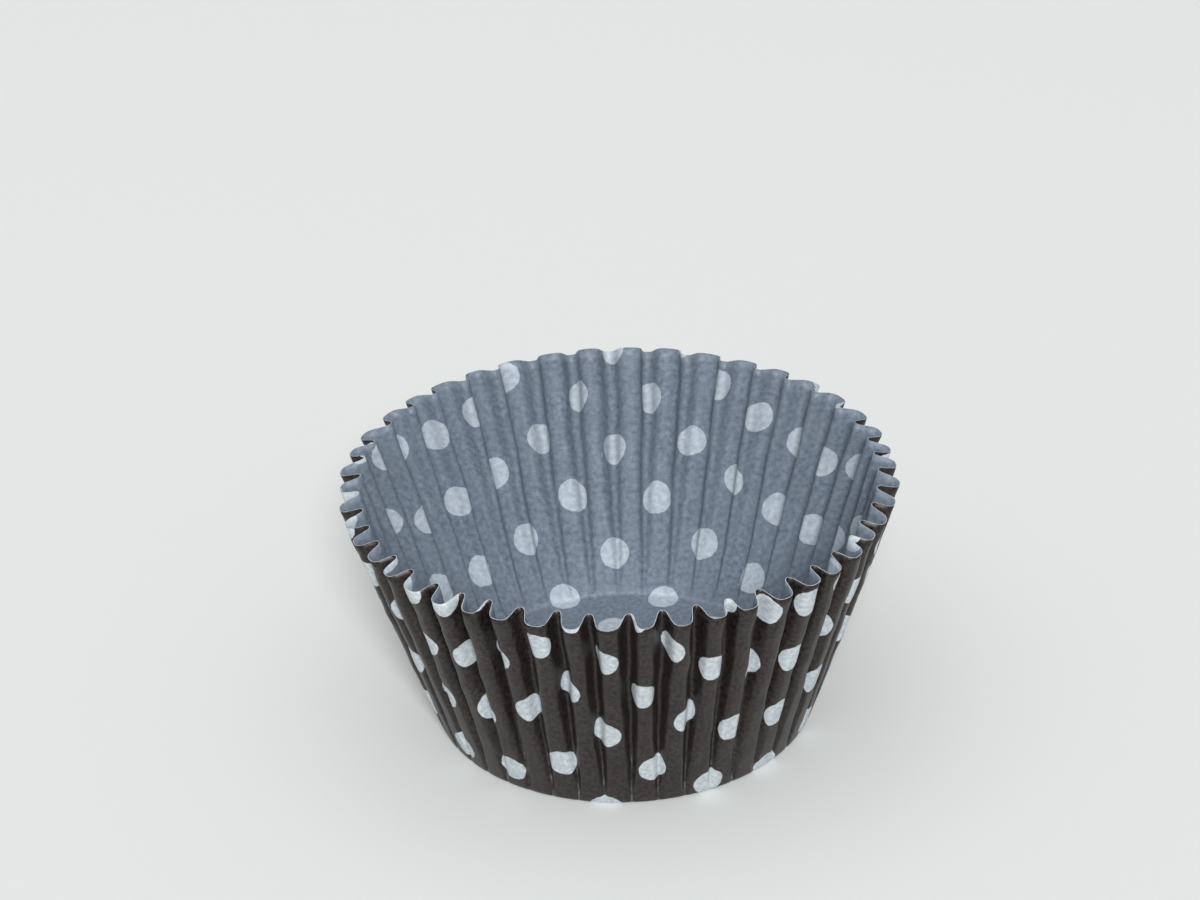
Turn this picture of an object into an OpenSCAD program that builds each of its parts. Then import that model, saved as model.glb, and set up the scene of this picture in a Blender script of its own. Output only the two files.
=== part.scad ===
// Pleated paper baking cup for a cupcake or muffin, pressed from one flat disc of greaseproof paper.
// The flat middle of the disc is the base. The rest is gathered into pleats and stands up as the wall.
// Paper neither stretches nor shrinks, so the pleats take up the paper that the narrower wall has no room for.
// That fixes how deep they are at every height: nothing at the crease round the base, deepest at the rim.
// Origin: centre of the base, on the table. +Z points up, out of the mouth.

/* [Base] */
// Diameter of the base, measured to the corner where base and wall would meet
base_d = 50; // [44:0.5:58]
// Radius of the crease between base and wall, at mid thickness
crease_r = 0.6; // [0.3:0.1:1.5]

/* [Wall] */
// Height of the rim above the table, halfway between ridges and valleys
wall_h = 33.7; // [26:0.1:42]
// Diameter of the mouth, halfway between ridges and valleys
mouth_d = 69.5; // [64:0.5:76]

/* [Pleats] */
// Number of pleats round the wall
pleats = 46; // [36:1:60]
// Share of a pleat's paper that lies flat along its ridge, at the base
base_land = 0.45; // [0.3:0.01:0.6]
// Share of a pleat's paper that lies flat along its ridge, at the rim
rim_land = 0.02; // [0.01:0.01:0.2]
// Share of a pleat's paper that curves round one side of its ridge, at the base
base_corner = 0.11; // [0.05:0.005:0.15]
// Share of a pleat's paper that curves round one side of its ridge, at the rim
rim_corner = 0.185; // [0.1:0.005:0.25]
// Share of a pleat's paper that curves round its inner valley, at the base
base_valley = 0.05; // [0.03:0.01:0.1]
// Share of a pleat's paper that curves round its inner valley, at the rim
rim_valley = 0.1; // [0.06:0.01:0.2]

/* [Paper] */
// Thickness of the greaseproof paper
paper_t = 0.08; // [0.05:0.01:0.12]

/* [Facets] */
// Flat facets round each corner of a ridge
corner_facets = 2; // [1:1:4]
// Flat facets round each half of a valley
valley_facets = 1; // [1:1:3]
// Bands of facets up the wall
wall_bands = 4; // [3:1:6]

/* [Hidden] */

crease_bands = 2;
band_growth = 1.6;
solver_steps = 30;
steepest_flank = 130;
share_growth = 2.2;

// The wall as a plain cone at mid thickness, before it is pleated
mid_z = paper_t / 2;
wall_run = (mouth_d - base_d) / 2;
wall_rise = wall_h - mid_z;
wall_angle = atan2(wall_rise, wall_run);
setback = crease_r * tan(wall_angle / 2);
crease_length = crease_r * wall_angle * PI / 180;

// Distances from the centre, measured along the flat paper
crease_start = base_d / 2 - setback;
crease_end = crease_start + crease_length;
blank_r = crease_end + norm([wall_run, wall_rise]) - setback;

// Where the paper lies at a distance from the centre: [radius, height, slope angle]
function meridian(paper_r) =
    let (
        flat = min(paper_r, crease_start),
        bend = min(max(paper_r - crease_start, 0), crease_length) / crease_r * 180 / PI,
        straight = max(paper_r - crease_end, 0)
    )
    [
        flat + crease_r * sin(bend) + straight * cos(wall_angle),
        mid_z + crease_r * (1 - cos(bend)) + straight * sin(wall_angle),
        bend
    ];

// Shares of a pleat's paper at a distance from the centre: [land, corner, valley, flank].
// A pleat starts as a narrow crease beside a broad land, and soon opens into a rounder wave on its way up.
function shares_at(paper_r) =
    let (
        climb = min(max(0, (paper_r - crease_end) / (blank_r - crease_end)), 1),
        part = 1 - pow(1 - climb, share_growth),
        land = base_land + (rim_land - base_land) * part,
        corner = base_corner + (rim_corner - base_corner) * part,
        valley = base_valley + (rim_valley - base_valley) * part
    )
    [land, corner, valley, (1 - land - 2 * corner - valley) / 2];

// Width of a pleat, as a share of its paper, when its flanks stand at this angle
function width_share(shares, flank) =
    shares[0]
        + (2 * shares[1] + shares[2]) * (flank < 0.01 ? 1 : sin(flank) / (flank * PI / 180))
        + 2 * shares[3] * cos(flank);

// Flank angle that gives a pleat the wanted width, found by halving the range
function flank_angle(shares, width, low = 0, high = steepest_flank, steps = solver_steps) =
    let (middle = (low + high) / 2)
    steps == 0
        ? middle
        : width_share(shares, middle) > width
            ? flank_angle(shares, width, middle, high, steps - 1)
            : flank_angle(shares, width, low, middle, steps - 1);

// Point part of the way along an arc that starts level and has turned by the flank angle at its end
function arc_point(length, flank, part) =
    flank < 0.01
        ? [length * part, 0]
        : length / (flank * PI / 180) * [sin(flank * part), 1 - cos(flank * part)];

// One pleat in section, from the middle of a valley to just before the next: [along, out], as shares of its paper.
// The first half climbs from the valley to the ridge, and the second is its mirror image.
function pleat_section(shares, flank) =
    let (
        land = [shares[0] / 2, 0],
        corner = arc_point(shares[1], flank, 1),
        valley = arc_point(shares[2] / 2, flank, 1),
        size = valley + shares[3] * [cos(flank), sin(flank)] + corner + land,
        middle = [0, size.y / 2],
        climb = [
            for (i = [0 : valley_facets]) arc_point(shares[2] / 2, flank, i / valley_facets) - middle,
            for (i = [corner_facets : -1 : 0]) size - land - arc_point(shares[1], flank, i / corner_facets) - middle
        ]
    )
    [
        each climb,
        for (i = [len(climb) - 1 : -1 : 1]) [2 * size.x - climb[i].x, climb[i].y]
    ];

// Step from a corner of the section to the same corner of a parallel line one unit further out
function corner_step(before, after) =
    let (
        first = [-before.y, before.x] / norm(before),
        second = [-after.y, after.x] / norm(after)
    )
    (first + second) / (1 + first * second);

// One ring of points round the cup, at a distance along the paper and offset outwards from mid thickness
function ring(paper_r, offset) =
    let (
        path = meridian(paper_r),
        width = path[0] / paper_r,
        pleat_paper = 2 * PI * paper_r / pleats,
        shares = shares_at(paper_r),
        section = pleat_section(shares, flank_angle(shares, width)),
        last = len(section) - 1
    )
    [
        for (k = [0 : pleats - 1], i = [0 : last])
            let (
                before = section[i] - (i == 0 ? section[last] - [width, 0] : section[i - 1]),
                after = (i == last ? section[0] + [width, 0] : section[i + 1]) - section[i],
                shift = offset * corner_step(before, after),
                turn = 360 / pleats * (k + section[i].x / width),
                out = section[i].y * pleat_paper + shift.y,
                radius = path[0] + out * sin(path[2])
            )
            [
                radius * cos(turn) - shift.x * sin(turn),
                radius * sin(turn) + shift.x * cos(turn),
                path[1] - out * cos(path[2])
            ]
    ];

// Paper distances of the rings: round the crease, then up the wall in bands that widen towards the rim
ring_radii = [
    for (i = [0 : crease_bands - 1]) crease_start + crease_length * i / crease_bands,
    for (i = [0 : wall_bands]) crease_end + (blank_r - crease_end) * pow(i / wall_bands, band_growth)
];

// Outer and inner skin, each a centre point and its rings, closed by a strip round the cut rim
module paper_cup() {
    outer = [for (r = ring_radii) each ring(r, paper_t / 2)];
    inner = [for (r = ring_radii) each ring(r, -paper_t / 2)];
    rings = len(ring_radii);
    around = len(outer) / rings;
    top = rings - 1;

    function centre(side) = side * (len(outer) + 1);
    function at(side, row, i) = centre(side) + 1 + row * around + i % around;
    function turned(face, side) = side == 0 ? face : [face[0], face[2], face[1]];

    polyhedron(
        points = concat([[0, 0, 0]], outer, [[0, 0, paper_t]], inner),
        faces = [
            for (side = [0, 1], i = [0 : around - 1])
                turned([centre(side), at(side, 0, i), at(side, 0, i + 1)], side),
            for (side = [0, 1], row = [0 : top - 1], i = [0 : around - 1])
                each [
                    turned([at(side, row, i), at(side, row + 1, i), at(side, row + 1, i + 1)], side),
                    turned([at(side, row, i), at(side, row + 1, i + 1), at(side, row, i + 1)], side)
                ],
            for (i = [0 : around - 1])
                each [
                    [at(0, top, i), at(1, top, i), at(1, top, i + 1)],
                    [at(0, top, i), at(1, top, i + 1), at(0, top, i + 1)]
                ]
        ],
        convexity = 10
    );
}

module liner() {
    color("#494643") paper_cup();
}

liner();
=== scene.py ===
import math

import bpy
import numpy as np
from mathutils import Matrix, Vector


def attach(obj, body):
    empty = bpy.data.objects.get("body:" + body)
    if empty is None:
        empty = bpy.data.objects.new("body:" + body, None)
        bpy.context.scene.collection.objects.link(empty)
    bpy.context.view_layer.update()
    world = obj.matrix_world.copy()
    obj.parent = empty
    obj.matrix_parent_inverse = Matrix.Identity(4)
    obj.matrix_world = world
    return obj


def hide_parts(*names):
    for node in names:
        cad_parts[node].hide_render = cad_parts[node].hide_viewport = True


# A pleated paper baking cup. It starts as one flat disc of greaseproof paper, printed on one side.
# Lengths are in millimetres and angles in radians. MM turns millimetres into the frame's metres.
MM = 0.001

# Sizes of the cup, the same as the solid's
BASE_RADIUS = 25.0
CREASE_RADIUS = 0.6
MOUTH_RADIUS = 34.75
RIM_HEIGHT = 33.7
PAPER = 0.08
PLEATS = 46
PLEAT_TURN = 2 * math.pi / PLEATS

# The wall as a plain cone at mid thickness, before it is pleated
WALL_RUN = MOUTH_RADIUS - BASE_RADIUS
WALL_RISE = RIM_HEIGHT - PAPER / 2
WALL_ANGLE = math.atan2(WALL_RISE, WALL_RUN)
SETBACK = CREASE_RADIUS * math.tan(WALL_ANGLE / 2)

# Distances from the centre of the flat disc at which the crease starts, the wall starts and the paper ends
CREASE_START = BASE_RADIUS - SETBACK
WALL_START = CREASE_START + CREASE_RADIUS * WALL_ANGLE
DISC_RADIUS = WALL_START + math.hypot(WALL_RUN, WALL_RISE) - SETBACK

# Shares of a pleat's paper at the base and at the rim: the flat land of its ridge, both rounded corners
# beside it, and its narrow valley. The two straight flanks take what is left.
LAND_SHARES = (0.62, 0.04)
CORNER_SHARES = (0.17, 0.35)
VALLEY_SHARES = (0.08, 0.20)
# How early on the way up the shares change; 1 is evenly
SHARE_GROWTH = 2.75

# The side that faces the camera, as an angle round +Z from +X
FRONT = math.radians(270.86)

# How the pleats crowd towards the front: the sizes of one wave and of two waves round the cup, at the rim,
# and the power with which they grow up the wall. They are fitted to the dots in the photograph.
SQUEEZE = (0.120, -0.027)
SQUEEZE_GROWTH = 0.5

# Seed of the pleats' unevenness, picked for how near its dots lie to those in the photograph. 600 were ranked
# roughly, four were then fitted in full, and this is the best of the four.
SEED = 309
# Shift of a valley on the flat disc and in the cup, either way, in pleats
FLAT_SHIFT = 0.03
CUP_SHIFT = 0.02
# Sideways stray of a valley at the rim, either way, in pleats
RIM_STRAY = 0.05
# Waves of a valley on its way up: their number and their size in pleats
STRAY_WAVES = ((1.5, 0.03), (3.5, 0.018))
# Most that a ridge's land takes beyond its share, at the rim
EXTRA_LAND = 0.06
# Sideways lean of a pleat at the rim, either way, as a share of its depth
LEAN = 0.12
# Shift of a valley in or out at the rim, either way
VALLEY_SHIFT = 0.16
# Waves round the cup in how far the wall stands out, and their size at the rim
WALL_WAVES = (2, 3, 5)
WALL_WANDER = 0.35
# Waves round the cup in the height of the rim, and their size
RIM_WAVES = (1, 2, 3, 7)
RIM_WANDER = 0.35
# Bulges and dips along a ridge: the number of each wave up the wall, and their size
BULGE_WAVES = (1.3, 2.6, 4.4, 7.1)
BULGE = 0.07
# Least strength that chance gives a wave round the cup and one along a ridge; the most is 1
LEAST_WAVE = 0.4
LEAST_BULGE = 0.3

# Rings of the mesh: distances on the base, the last one short of the crease, then counts for crease and wall
BASE_RINGS = (8, 16, 21, CREASE_START - 0.5)
CREASE_RINGS = 4
WALL_RINGS = 33
# Power that sets the wall's rings closer together near the crease
RING_GROWTH = 1.15
# Columns of the mesh across half a valley, and across each flank, corner and land
HALF_VALLEY_COLUMNS = 2
COLUMNS = 3
# Range of the flank's angle, how often it is halved, and the width at which a pleat counts as flat
FLANK_LIMITS = (0.001, 2.2)
HALVINGS = 30
FLAT_WIDTH = 0.9999

# The print: a square grid of dots, turned against the cup and placed by one of its dots
DOT_PITCH = 10.0
DOT_RADIUS = 2.17
DOT_TURN = math.radians(42.9)
DOT_PLACE = (5.40, 10.13)
# How far a dot's edge strays on the soft paper, and over what distance it blurs, either way
DOT_RAGGED = 0.22
DOT_BLUR = 0.05
# How much further from the centre the print lies than its grid would have it, at shares of the way from the
# crease to the rim. This too is fitted to the dots in the photograph, and nothing else measures it.
PRINT_SHIFT_AT = (0, 0.2, 0.5, 1)
PRINT_SHIFT = (-0.93, -0.67, 0.23, 0.34)

# Where the ink is painted lighter, as distances along the paper at which this is nil and is full: a painted
# highlight beside a valley, past the crease's start and up the wall; and real wear beside the worn line
# round the base
VALLEY_HIGHLIGHT_BESIDE = (0.2, 0.05)
VALLEY_HIGHLIGHT_BEGINS = (0.1, 0.6)
VALLEY_HIGHLIGHT_FADES = (12.0, 2.0)
WEAR_BESIDE_LINE = (0.4, 0.1)
# How far past the crease's start that worn line lies, and the grain at which its scuffs begin and are full
WORN_LINE = 0.45
SCUFF_LIMITS = (0.48, 0.6)

# Size of the grains that a noise texture of scale 1 draws on coordinates in millimetres
NOISE_GRAIN = 0.7

# The table top's half side, and how far it lies below the paper so that the two don't share a plane
TABLE_REACH = 3000
TABLE_GAP = 0.02

# The camera, fitted to the base's edge and the rim's ridges. It looks at the origin of the frame, and its
# view is then turned round the axis of CAMERA_AIM (across, down, ahead) by that axis's length.
FOCAL_LENGTH = 105.1
SENSOR_WIDTH = 36.0
CAMERA_DISTANCE = 470.3
CAMERA_ELEVATION = 0.590
CAMERA_AIM = (-0.0697, 0.006, -0.035)


def linear(code):
    """An sRGB hex colour as the linear RGBA that shaders take."""
    parts = [int(code[i : i + 2], 16) / 255 for i in (1, 3, 5)]
    return (*(c / 12.92 if c <= 0.04045 else ((c + 0.055) / 1.055) ** 2.4 for c in parts), 1)


def add_node(tree, kind, inputs=None, **settings):
    """Adds a node with its settings. inputs maps a socket's name or number to a value or to its source."""
    node = tree.nodes.new(kind)
    for name, value in settings.items():
        setattr(node, name, value)
    for name, value in (inputs or {}).items():
        if isinstance(value, bpy.types.NodeSocket):
            tree.links.new(value, node.inputs[name])
        else:
            node.inputs[name].default_value = value
    return node


# Form of the paper


def meridian(paper_r):
    """Radius, height and slope of the plain cone at a distance from the centre of the disc."""
    bend = np.clip((paper_r - CREASE_START) / CREASE_RADIUS, 0, WALL_ANGLE)
    straight = np.maximum(paper_r - WALL_START, 0)
    flat = np.minimum(paper_r, CREASE_START)
    radius = flat + CREASE_RADIUS * np.sin(bend) + straight * math.cos(WALL_ANGLE)
    height = PAPER / 2 + CREASE_RADIUS * (1 - np.cos(bend)) + straight * math.sin(WALL_ANGLE)
    return radius, height, bend


def shares_at(climb):
    """Shares of land, corners and valley on the way up, from a crease beside a land to a rounder wave."""
    part = 1 - (1 - climb) ** SHARE_GROWTH
    return [low + (high - low) * part for low, high in (LAND_SHARES, CORNER_SHARES, VALLEY_SHARES)]


def half_pleat_point(share, shares, flank):
    """How far a pleat's paper lies along from its nearer valley and outwards, as shares of its length."""
    half = 0.5 - np.abs(share - 0.5)
    land, corner, valley = (x / 2 for x in shares)
    straight = 0.5 - valley - corner - land
    in_valley = np.minimum(half, valley)
    in_flank = np.clip(half - valley, 0, straight)
    in_corner = np.clip(half - valley - straight, 0, corner)
    in_land = np.maximum(half - valley - straight - corner, 0)
    turned, left = flank * in_valley / valley, flank * (1 - in_corner / corner)
    valley_r, corner_r = valley / flank, corner / flank
    rounded = valley_r * np.sin(turned) + corner_r * (np.sin(flank) - np.sin(left))
    raised = valley_r * (1 - np.cos(turned)) + corner_r * (np.cos(left) - np.cos(flank))
    return rounded + in_flank * np.cos(flank) + in_land, raised + in_flank * np.sin(flank)


def flank_for(width, shares):
    """Flank angle at which a pleat spans the wanted share of its paper, found by halving the range."""
    land, corner, valley = shares
    low, high = (np.full(land.shape, limit) for limit in FLANK_LIMITS)
    for _ in range(HALVINGS):
        middle = (low + high) / 2
        curved = (corner + valley) * np.sin(middle) / middle
        wide = land + curved + (1 - corner - valley - land) * np.cos(middle) > width
        low, high = np.where(wide, middle, low), np.where(wide, high, middle)
    return (low + high) / 2


def pleat_columns(shares):
    """Shares of the pleat's paper at which its columns of points stand, from one valley to the next."""
    land, corner, valley = shares
    flank = (1 - land - corner - valley) / 2
    half = [(valley / 2, HALF_VALLEY_COLUMNS), (flank, COLUMNS), (corner / 2, COLUMNS)]
    columns, at = [], np.zeros_like(land)
    for length, count in [*half, (land, COLUMNS), *reversed(half)]:
        columns += [at + length * i / count for i in range(count)]
        at = at + length
    return np.stack(columns, -1)


def pressed_pleats(rng, climb, width):
    """Every pleat in section: its columns, how far they lie along it and outwards, and the ridge's height."""
    land, corner, valley = (np.repeat(share, PLEATS, 1) for share in shares_at(climb))
    land = land + rng.uniform(0, EXTRA_LAND, PLEATS) * climb**0.5
    shares = (land, corner, valley)
    columns = pleat_columns(shares)
    flank = flank_for(np.minimum(width, FLAT_WIDTH), shares)[..., None]
    shares = [share[..., None] for share in shares]
    along, out = half_pleat_point(columns, shares, flank)
    half_span, ridge = half_pleat_point(np.full(1, 0.5), shares, flank)
    along = np.where(columns > 0.5, 2 * half_span - along, along) / (2 * half_span)
    return columns, along, out, ridge


def formed_angle(flat_angle, climb):
    """Turns an angle on the flat disc into the angle at which that paper stands in the cup."""
    away = flat_angle - FRONT
    crowding = SQUEEZE[0] * np.sin(away) + SQUEEZE[1] * np.sin(2 * away)
    return flat_angle - climb**SQUEEZE_GROWTH * crowding


def to_next(angles):
    """Angle from each valley to the next one round the cup."""
    return np.diff(angles, append=angles[..., :1] + 2 * math.pi)


def valley_stray(rng, climb):
    """How far each valley strays sideways on its way up the wall, in pleats."""
    stray = rng.uniform(-RIM_STRAY, RIM_STRAY, PLEATS) * climb**2
    for waves, size in STRAY_WAVES:
        phase = rng.uniform(0, 2 * math.pi, PLEATS)
        stray = stray + size * (np.sin(waves * 2 * math.pi * climb + phase) - np.sin(phase)) * climb**0.5
    return stray


def valley_angles(rng, climb):
    """Angles of the valleys on the flat disc, and on every ring of the cup."""
    flat = FRONT + PLEAT_TURN * (np.arange(PLEATS) + rng.uniform(-FLAT_SHIFT, FLAT_SHIFT, PLEATS))
    stray = rng.uniform(-CUP_SHIFT, CUP_SHIFT, PLEATS) + valley_stray(rng, climb)
    return flat, formed_angle(flat, climb) + PLEAT_TURN * stray


def wander(rng, angle, waves, size):
    """A slow random change round the cup, made of a few whole waves."""
    total = np.zeros_like(angle)
    for wave in waves:
        total += rng.uniform(LEAST_WAVE, 1) * np.sin(wave * angle + rng.uniform(0, 2 * math.pi))
    return size * total / len(waves)


def bulges(rng, climb, columns):
    """Slight bulges and dips along each ridge, different on every pleat."""
    waves = np.zeros((len(climb), PLEATS, 1))
    for count in BULGE_WAVES:
        phase = rng.uniform(0, 2 * math.pi, (PLEATS, 1))
        strength = rng.uniform(LEAST_BULGE, 1, (PLEATS, 1))
        waves = waves + strength * np.sin(2 * math.pi * count * climb + phase)
    return BULGE * climb**0.5 * np.sin(math.pi * columns) * waves


def unevenness(rng, climb, columns, angle):
    """How far the paper stands outwards and upwards of its even place."""
    shift = rng.uniform(-VALLEY_SHIFT, VALLEY_SHIFT, (PLEATS, 1))
    outwards = climb * (shift * (1 - columns) + np.roll(shift, -1, 0) * columns)
    outwards = outwards + climb * wander(rng, angle, WALL_WAVES, WALL_WANDER)
    upwards = climb**2 * wander(rng, angle, RIM_WAVES, RIM_WANDER)
    return outwards + bulges(rng, climb, columns), upwards


def printed_distance(paper_r):
    """Distance from the centre, in the print's own grid, of what is printed at this distance on the paper."""
    marks = [CREASE_START + share * (DISC_RADIUS - CREASE_START) for share in PRINT_SHIFT_AT]
    return paper_r - np.interp(paper_r, (0, *marks), (0, *PRINT_SHIFT))


def ring_distances():
    """Distances from the centre of the disc at which the mesh has its rings."""
    crease = np.linspace(CREASE_START, WALL_START, CREASE_RINGS, endpoint=False)
    climb = np.linspace(0, 1, WALL_RINGS) ** RING_GROWTH
    return np.concatenate([BASE_RINGS, crease, WALL_START + (DISC_RADIUS - WALL_START) * climb])


def build_paper(rng):
    """The sheet's points in rings, with their places in the print and their distances from the folds."""
    paper_r = ring_distances()[:, None]
    radius, height, slope = meridian(paper_r)
    climb = np.clip((paper_r - WALL_START) / (DISC_RADIUS - WALL_START), 0, 1)
    flat_valleys, valleys = valley_angles(rng, climb)
    paper_width = (to_next(flat_valleys) * paper_r)[..., None]
    columns, along, out, ridge = pressed_pleats(rng, climb, radius / paper_r)

    paper_r, radius, height, slope, climb = (x[..., None] for x in (paper_r, radius, height, slope, climb))
    out = out * paper_width
    angle = valleys[..., None] + along * to_next(valleys)[..., None]
    angle = angle + climb * rng.uniform(-LEAN, LEAN, (PLEATS, 1)) * out / radius
    half_depth = (ridge * paper_width).mean(1, keepdims=True) / 2
    out = np.where(paper_r > CREASE_START, out - half_depth, 0)
    outwards, upwards = unevenness(rng, climb, columns, angle)
    out = out + outwards

    radius = radius + out * np.sin(slope)
    height = height - out * np.cos(slope) + upwards
    points = np.stack([radius * np.cos(angle), radius * np.sin(angle), height], -1)

    flat_angle = flat_valleys[:, None] + columns * to_next(flat_valleys)[:, None]
    directions = np.stack([np.cos(flat_angle), np.sin(flat_angle)], -1)
    flat = printed_distance(paper_r)[..., None] * directions
    from_valley = (0.5 - np.abs(columns - 0.5)) * paper_width
    folds = np.stack([from_valley, paper_r - CREASE_START + 0 * columns], -1)
    return points, flat, folds


def sheet_mesh(name, points, flat, folds):
    """One skin of quads with a fan at the centre, facing outwards, and its two maps of the paper."""
    rings, around = points.shape[0], points.shape[1] * points.shape[2]
    points = np.vstack([[[0, 0, PAPER / 2]], points.reshape(-1, 3)])
    flat = np.vstack([[[0, 0]], flat.reshape(-1, 2)])
    folds = np.vstack([[[0, -CREASE_START]], folds.reshape(-1, 2)])

    def at(ring, column):
        return 1 + ring * around + column % around

    faces = [(0, at(0, i + 1), at(0, i)) for i in range(around)]
    faces += [
        (at(ring, i), at(ring, i + 1), at(ring + 1, i + 1), at(ring + 1, i))
        for ring in range(rings - 1)
        for i in range(around)
    ]
    mesh = bpy.data.meshes.new(name)
    mesh.from_pydata((points * MM).tolist(), [], faces)
    for label, values in (("flat_mm", flat), ("folds_mm", folds)):
        values = np.hstack([values, np.zeros((len(values), 1))]).astype(np.float32)
        mesh.attributes.new(label, "FLOAT_VECTOR", "POINT").data.foreach_set("vector", values.ravel())
    mesh.polygons.foreach_set("use_smooth", [True] * len(faces))
    mesh.update()
    return mesh


# Materials


def new_material(name):
    """An empty node material and its tree."""
    material = bpy.data.materials.new(name)
    material.use_nodes = True
    material.node_tree.nodes.clear()
    return material, material.node_tree


def finish_material(tree, surface):
    """Closes a material with its shader, whose sockets take the values and sources of the surface."""
    shader = add_node(tree, "ShaderNodeBsdfPrincipled", surface)
    add_node(tree, "ShaderNodeOutputMaterial", {"Surface": shader.outputs[0]})


def sheet_map(tree, label):
    """One of the sheet's maps: flat_mm, the place in the print, or folds_mm, the distances from the folds."""
    return add_node(tree, "ShaderNodeAttribute", attribute_name=label).outputs["Vector"]


def layered_colour(tree, ground, *layers):
    """A ground colour with others laid over it in turn, each with the share of the surface it covers."""
    for cover, layer in layers:
        # Sockets 6 and 7 of a Mix node are its two colours, and output 2 is the mixed one.
        mixed = add_node(tree, "ShaderNodeMix", {"Factor": cover, 6: ground, 7: layer}, data_type="RGBA")
        ground = mixed.outputs[2]
    return ground


def where(tree, *limits):
    """1 where every measure is past the second of its two limits, falling to 0 towards the first."""
    share = 1
    for measure, none, full in limits:
        part = add_node(tree, "ShaderNodeMapRange", {"Value": measure, "From Min": none, "From Max": full})
        both = {0: share, 1: part.outputs[0]}
        share = add_node(tree, "ShaderNodeMath", both, operation="MULTIPLY").outputs[0]
    return share


def paper_grain(tree, flat, grain_mm, detail, roughness=0.5):
    """Random unevenness of the flat paper, from 0 to 1, with grains of a real size."""
    inputs = {"Vector": flat, "Scale": NOISE_GRAIN / grain_mm, "Detail": detail, "Roughness": roughness}
    return add_node(tree, "ShaderNodeTexNoise", inputs).outputs["Fac"]


def fibre_cloud(tree, flat, clump_mm, contrast, strength=1):
    """Uneven density of the paper's fibres, from 0 to the strength given, in soft clumps of a real size."""
    grain = paper_grain(tree, flat, clump_mm, detail=3, roughness=0.6)
    limits = {"Value": grain, "From Min": 0.5 - contrast, "From Max": 0.5 + contrast, "To Max": strength}
    return add_node(tree, "ShaderNodeMapRange", limits).outputs[0]


def dot_mask(tree, flat):
    """1 inside a printed dot's place and 0 outside, with the uneven edge that ink leaves on soft paper."""
    grid = {"Location": (*DOT_PLACE, 0), "Rotation": (0, 0, DOT_TURN), "Scale": (DOT_PITCH, DOT_PITCH, 1)}
    distance = add_node(tree, "ShaderNodeMapping", {"Vector": flat, **grid}, vector_type="TEXTURE")
    # Fraction and length take one vector, so their second value isn't used.
    from_centre = (
        ("ADD", (0.5, 0.5, 0.5)),
        ("FRACTION", (0, 0, 0)),
        ("SUBTRACT", (0.5, 0.5, 0)),
        ("MULTIPLY", (DOT_PITCH, DOT_PITCH, 0)),
        ("LENGTH", (0, 0, 0)),
    )
    for operation, value in from_centre:
        steps = {0: distance.outputs[0], 1: value}
        distance = add_node(tree, "ShaderNodeVectorMath", steps, operation=operation)
    ragged = paper_grain(tree, flat, grain_mm=0.44, detail=2)
    edge = {0: ragged, 1: DOT_RAGGED, 2: distance.outputs["Value"]}
    edge = add_node(tree, "ShaderNodeMath", edge, operation="MULTIPLY_ADD").outputs[0]
    middle = DOT_RADIUS + DOT_RAGGED / 2
    return where(tree, (edge, middle + DOT_BLUR, middle - DOT_BLUR))


def valley_highlight_and_base_wear(tree, flat, folds):
    """Painted highlight in the valleys low on the wall, and scuffs where folds cracked the ink round the
    base.
    """
    apart = add_node(tree, "ShaderNodeSeparateXYZ", {"Vector": folds})
    from_valley, up = apart.outputs["X"], apart.outputs["Y"]
    low = ((up, *VALLEY_HIGHLIGHT_BEGINS), (up, *VALLEY_HIGHLIGHT_FADES))
    # A painted highlight: lighter along each valley floor low on the wall, where light would catch it
    painted_valley_highlight = where(tree, (from_valley, *VALLEY_HIGHLIGHT_BESIDE), *low)
    off_line = add_node(tree, "ShaderNodeMath", {0: up, 1: WORN_LINE}, operation="SUBTRACT").outputs[0]
    off_line = add_node(tree, "ShaderNodeMath", {0: off_line}, operation="ABSOLUTE").outputs[0]
    scuffs = paper_grain(tree, flat, grain_mm=5.8, detail=1)
    round_base = where(tree, (off_line, *WEAR_BESIDE_LINE), (scuffs, *SCUFF_LIMITS))
    either = add_node(tree, "ShaderNodeMath", {0: painted_valley_highlight, 1: round_base}, operation="MAXIMUM")
    # Patches break up both the painted valley highlight and the real scuffs round the base
    patches = paper_grain(tree, flat, grain_mm=1.75, detail=4, roughness=0.65)
    patchy_highlight_and_wear = {"Value": patches, "From Min": 0.45, "From Max": 0.7, "To Max": 0.7}
    patchy_highlight_and_wear = add_node(tree, "ShaderNodeMapRange", patchy_highlight_and_wear).outputs[0]
    return add_node(tree, "ShaderNodeMath", {0: either.outputs[0], 1: patchy_highlight_and_wear}, operation="MULTIPLY").outputs[0]


def fibre_bump(tree, flat, strength):
    """Relief of a calendered sheet: fibres pressed nearly flat, and faint hollows between their clumps."""
    fibres = paper_grain(tree, flat, grain_mm=0.22, detail=5, roughness=0.6)
    hollows = paper_grain(tree, flat, grain_mm=1.0, detail=2)
    hollow_depth = 0.7
    both = {0: hollows, 1: hollow_depth, 2: fibres}
    height = add_node(tree, "ShaderNodeMath", both, operation="MULTIPLY_ADD").outputs[0]
    relief = {"Height": height, "Strength": strength, "Distance": 0.05 * MM}
    return add_node(tree, "ShaderNodeBump", relief).outputs[0]


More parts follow.
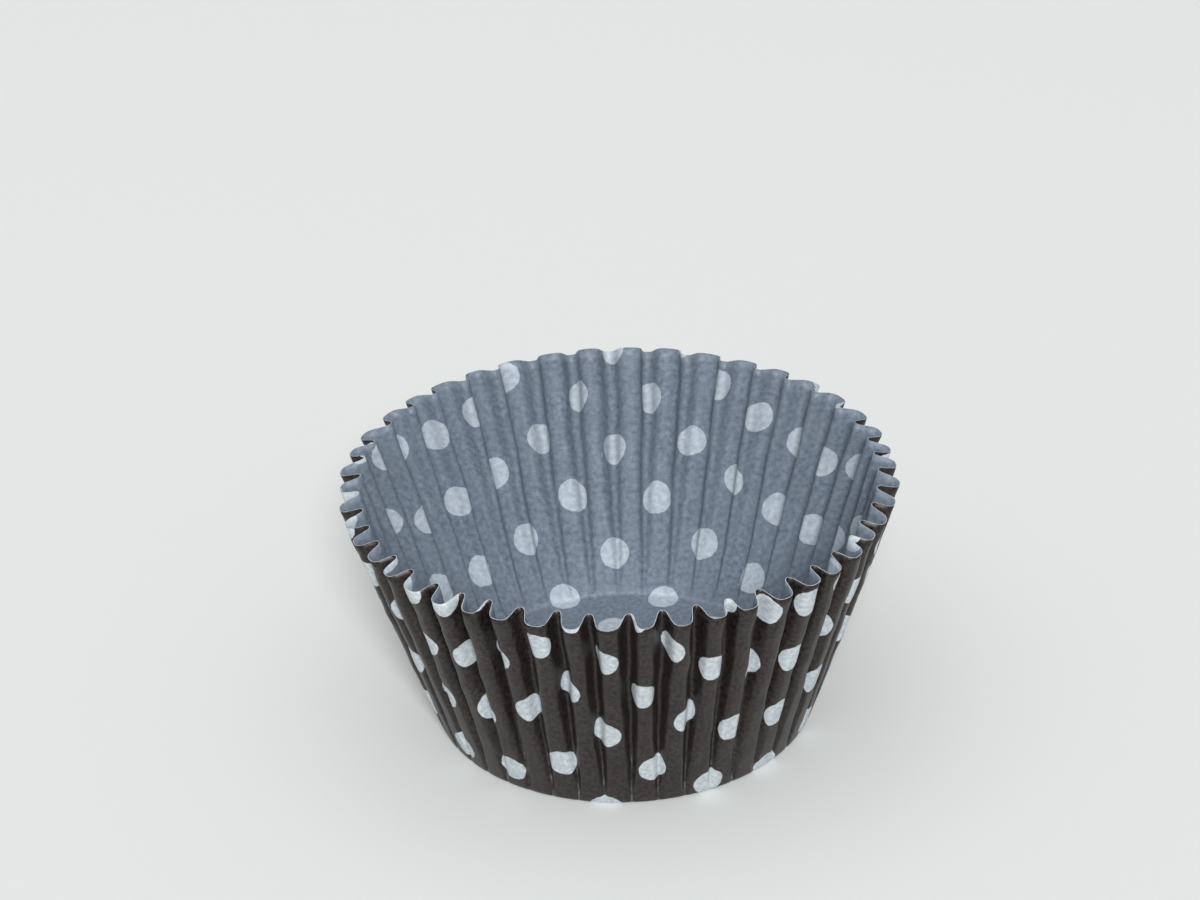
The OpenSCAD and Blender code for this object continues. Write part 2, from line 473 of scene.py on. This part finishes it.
def printed_paper():
    """Greaseproof paper flood-printed in dark brown ink, with the dots left bare.

    Calendering gives it a soft sheen, and the ink lies a little mottled on the fibres.
    """
    material, tree = new_material("greaseproof paper printed dark brown")
    flat, folds = sheet_map(tree, "flat_mm"), sheet_map(tree, "folds_mm")
    fibres = fibre_cloud(tree, flat, clump_mm=0.45, contrast=0.2)
    specks = fibre_cloud(tree, flat, clump_mm=0.4, contrast=0.1)
    clouds = fibre_cloud(tree, flat, clump_mm=4.0, contrast=0.25, strength=0.5)
    bare = layered_colour(tree, linear("#a0aab1"), (fibres, linear("#ccd4d8")))
    colour = layered_colour(
        tree,
        linear("#080606"),
        (specks, linear("#322c2a")),
        (clouds, linear("#1d1a18")),
        # Lighter grey: a painted highlight along the valleys low on the wall, and real scuffs of cracked ink
        # round the base
        (valley_highlight_and_base_wear(tree, flat, folds), linear("#8d9292")),
        (dot_mask(tree, flat), bare),
    )
    surface = {
        "Base Color": colour,
        "Roughness": 0.4,
        "IOR": 1.48,
        "Specular Tint": linear("#f4e9e7"),
        "Normal": fibre_bump(tree, flat, 0.45),
    }
    finish_material(tree, surface)
    return material


def bare_paper():
    """The unprinted side of the same paper, thin enough for the ink behind it to show as a darker tone."""
    material, tree = new_material("greaseproof paper unprinted side")
    flat = sheet_map(tree, "flat_mm")
    fibres = fibre_cloud(tree, flat, clump_mm=0.5, contrast=0.2)
    clouds = fibre_cloud(tree, flat, clump_mm=5.0, contrast=0.25, strength=0.5)
    bare = layered_colour(tree, linear("#9ea9b5"), (fibres, linear("#bfc9d1")))
    colour = layered_colour(
        tree,
        linear("#58626f"),
        (fibres, linear("#828e9d")),
        (clouds, linear("#78838f")),
        (dot_mask(tree, flat), bare),
    )
    relief = fibre_bump(tree, flat, 0.3)
    finish_material(tree, {"Base Color": colour, "Roughness": 0.5, "IOR": 1.45, "Normal": relief})
    return material


def cut_edge():
    """The die-cut edge of the paper: white fibre, a little furred."""
    material, tree = new_material("die-cut paper edge")
    fur = fibre_cloud(tree, sheet_map(tree, "flat_mm"), clump_mm=0.5, contrast=0.2)
    colour = layered_colour(tree, linear("#8f98a2"), (fur, linear("#d3dae0")))
    finish_material(tree, {"Base Color": colour, "Roughness": 0.8, "IOR": 1.45})
    return material


def make_liner():
    """The sheet, thickened to real paper, with a material for each side and one for the cut edge."""
    mesh = sheet_mesh("pleated_paper_cup", *build_paper(np.random.default_rng(SEED)))
    liner = bpy.data.objects.new("pleated_paper_cup", mesh)
    bpy.context.collection.objects.link(liner)
    for material in (printed_paper(), bare_paper(), cut_edge()):
        mesh.materials.append(material)
    thicken = liner.modifiers.new("paper thickness", "SOLIDIFY")
    thicken.thickness = PAPER * MM
    thicken.offset = 0
    thicken.material_offset = 1
    thicken.material_offset_rim = 2
    return liner


# Set


def make_floor():
    """A plain pale table top."""
    mesh = bpy.data.meshes.new("table_top")
    corners = ((-1, -1), (1, -1), (1, 1), (-1, 1))
    reach = TABLE_REACH * MM
    mesh.from_pydata([(x * reach, y * reach, -TABLE_GAP * MM) for x, y in corners], [], [(0, 1, 2, 3)])
    floor = bpy.data.objects.new("table_top", mesh)
    bpy.context.collection.objects.link(floor)
    material, tree = new_material("matt white table top")
    finish_material(tree, {"Base Color": linear("#dfe2e1"), "Roughness": 0.9, "Specular IOR Level": 0.2})
    mesh.materials.append(material)
    return floor


def add_lamp(name, kind, place, energy, **settings):
    """A lamp at a place in metres, turned towards the cup. Of a sun's place only the direction counts."""
    lamp = bpy.data.lights.new(name, kind)
    lamp.energy = energy
    for setting, value in settings.items():
        setattr(lamp, setting, value)
    thing = bpy.data.objects.new(name, lamp)
    thing.location = place
    thing.rotation_euler = Vector(place).to_track_quat("Z", "Y").to_euler()
    bpy.context.collection.objects.link(thing)


def make_lights():
    """A big soft lamp far off behind the camera, a wide one overhead and an even world."""
    add_lamp("lamp_behind_camera", "SUN", place=(0.06, -0.9, 0.65), energy=2.75, angle=math.radians(15))
    add_lamp("lamp_overhead", "AREA", place=(-0.1, -0.1, 1.0), energy=3.4, size=1.2)
    world = bpy.data.worlds.new("even light")
    world.use_nodes = True
    background = world.node_tree.nodes["Background"]
    background.inputs["Color"].default_value = (1, 1, 1, 1)
    background.inputs["Strength"].default_value = 0.32
    bpy.context.scene.world = world


def make_camera():
    """The photograph's view: from the front and above, turned a little off the cup's centre."""
    rise, reach = math.sin(CAMERA_ELEVATION), math.cos(CAMERA_ELEVATION)
    right, forward = Vector((1, 0, 0)), Vector((0, reach, -rise))
    level = Matrix((right, -right.cross(forward), forward))
    aim = Vector(CAMERA_AIM)
    across, down, ahead = Matrix.Rotation(aim.length, 3, aim.normalized()) @ level
    camera = bpy.data.cameras.new("camera")
    camera.lens, camera.sensor_width = FOCAL_LENGTH, SENSOR_WIDTH
    camera.clip_start, camera.clip_end = 0.01, 20
    thing = bpy.data.objects.new("camera", camera)
    place = -CAMERA_DISTANCE * MM * forward
    thing.matrix_world = Matrix.Translation(place) @ Matrix((across, -down, -ahead)).transposed().to_4x4()
    bpy.context.collection.objects.link(thing)
    bpy.context.scene.camera = thing


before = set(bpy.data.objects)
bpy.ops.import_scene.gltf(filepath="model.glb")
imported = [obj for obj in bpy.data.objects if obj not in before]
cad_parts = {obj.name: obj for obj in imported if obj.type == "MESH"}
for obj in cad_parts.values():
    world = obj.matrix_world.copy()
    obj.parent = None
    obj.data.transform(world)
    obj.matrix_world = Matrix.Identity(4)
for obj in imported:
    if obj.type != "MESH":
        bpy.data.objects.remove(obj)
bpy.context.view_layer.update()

liner = make_liner()
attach(liner, "root")
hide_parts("liner")
make_floor()
make_lights()
make_camera()
bpy.context.scene.view_settings.view_transform = "Standard"
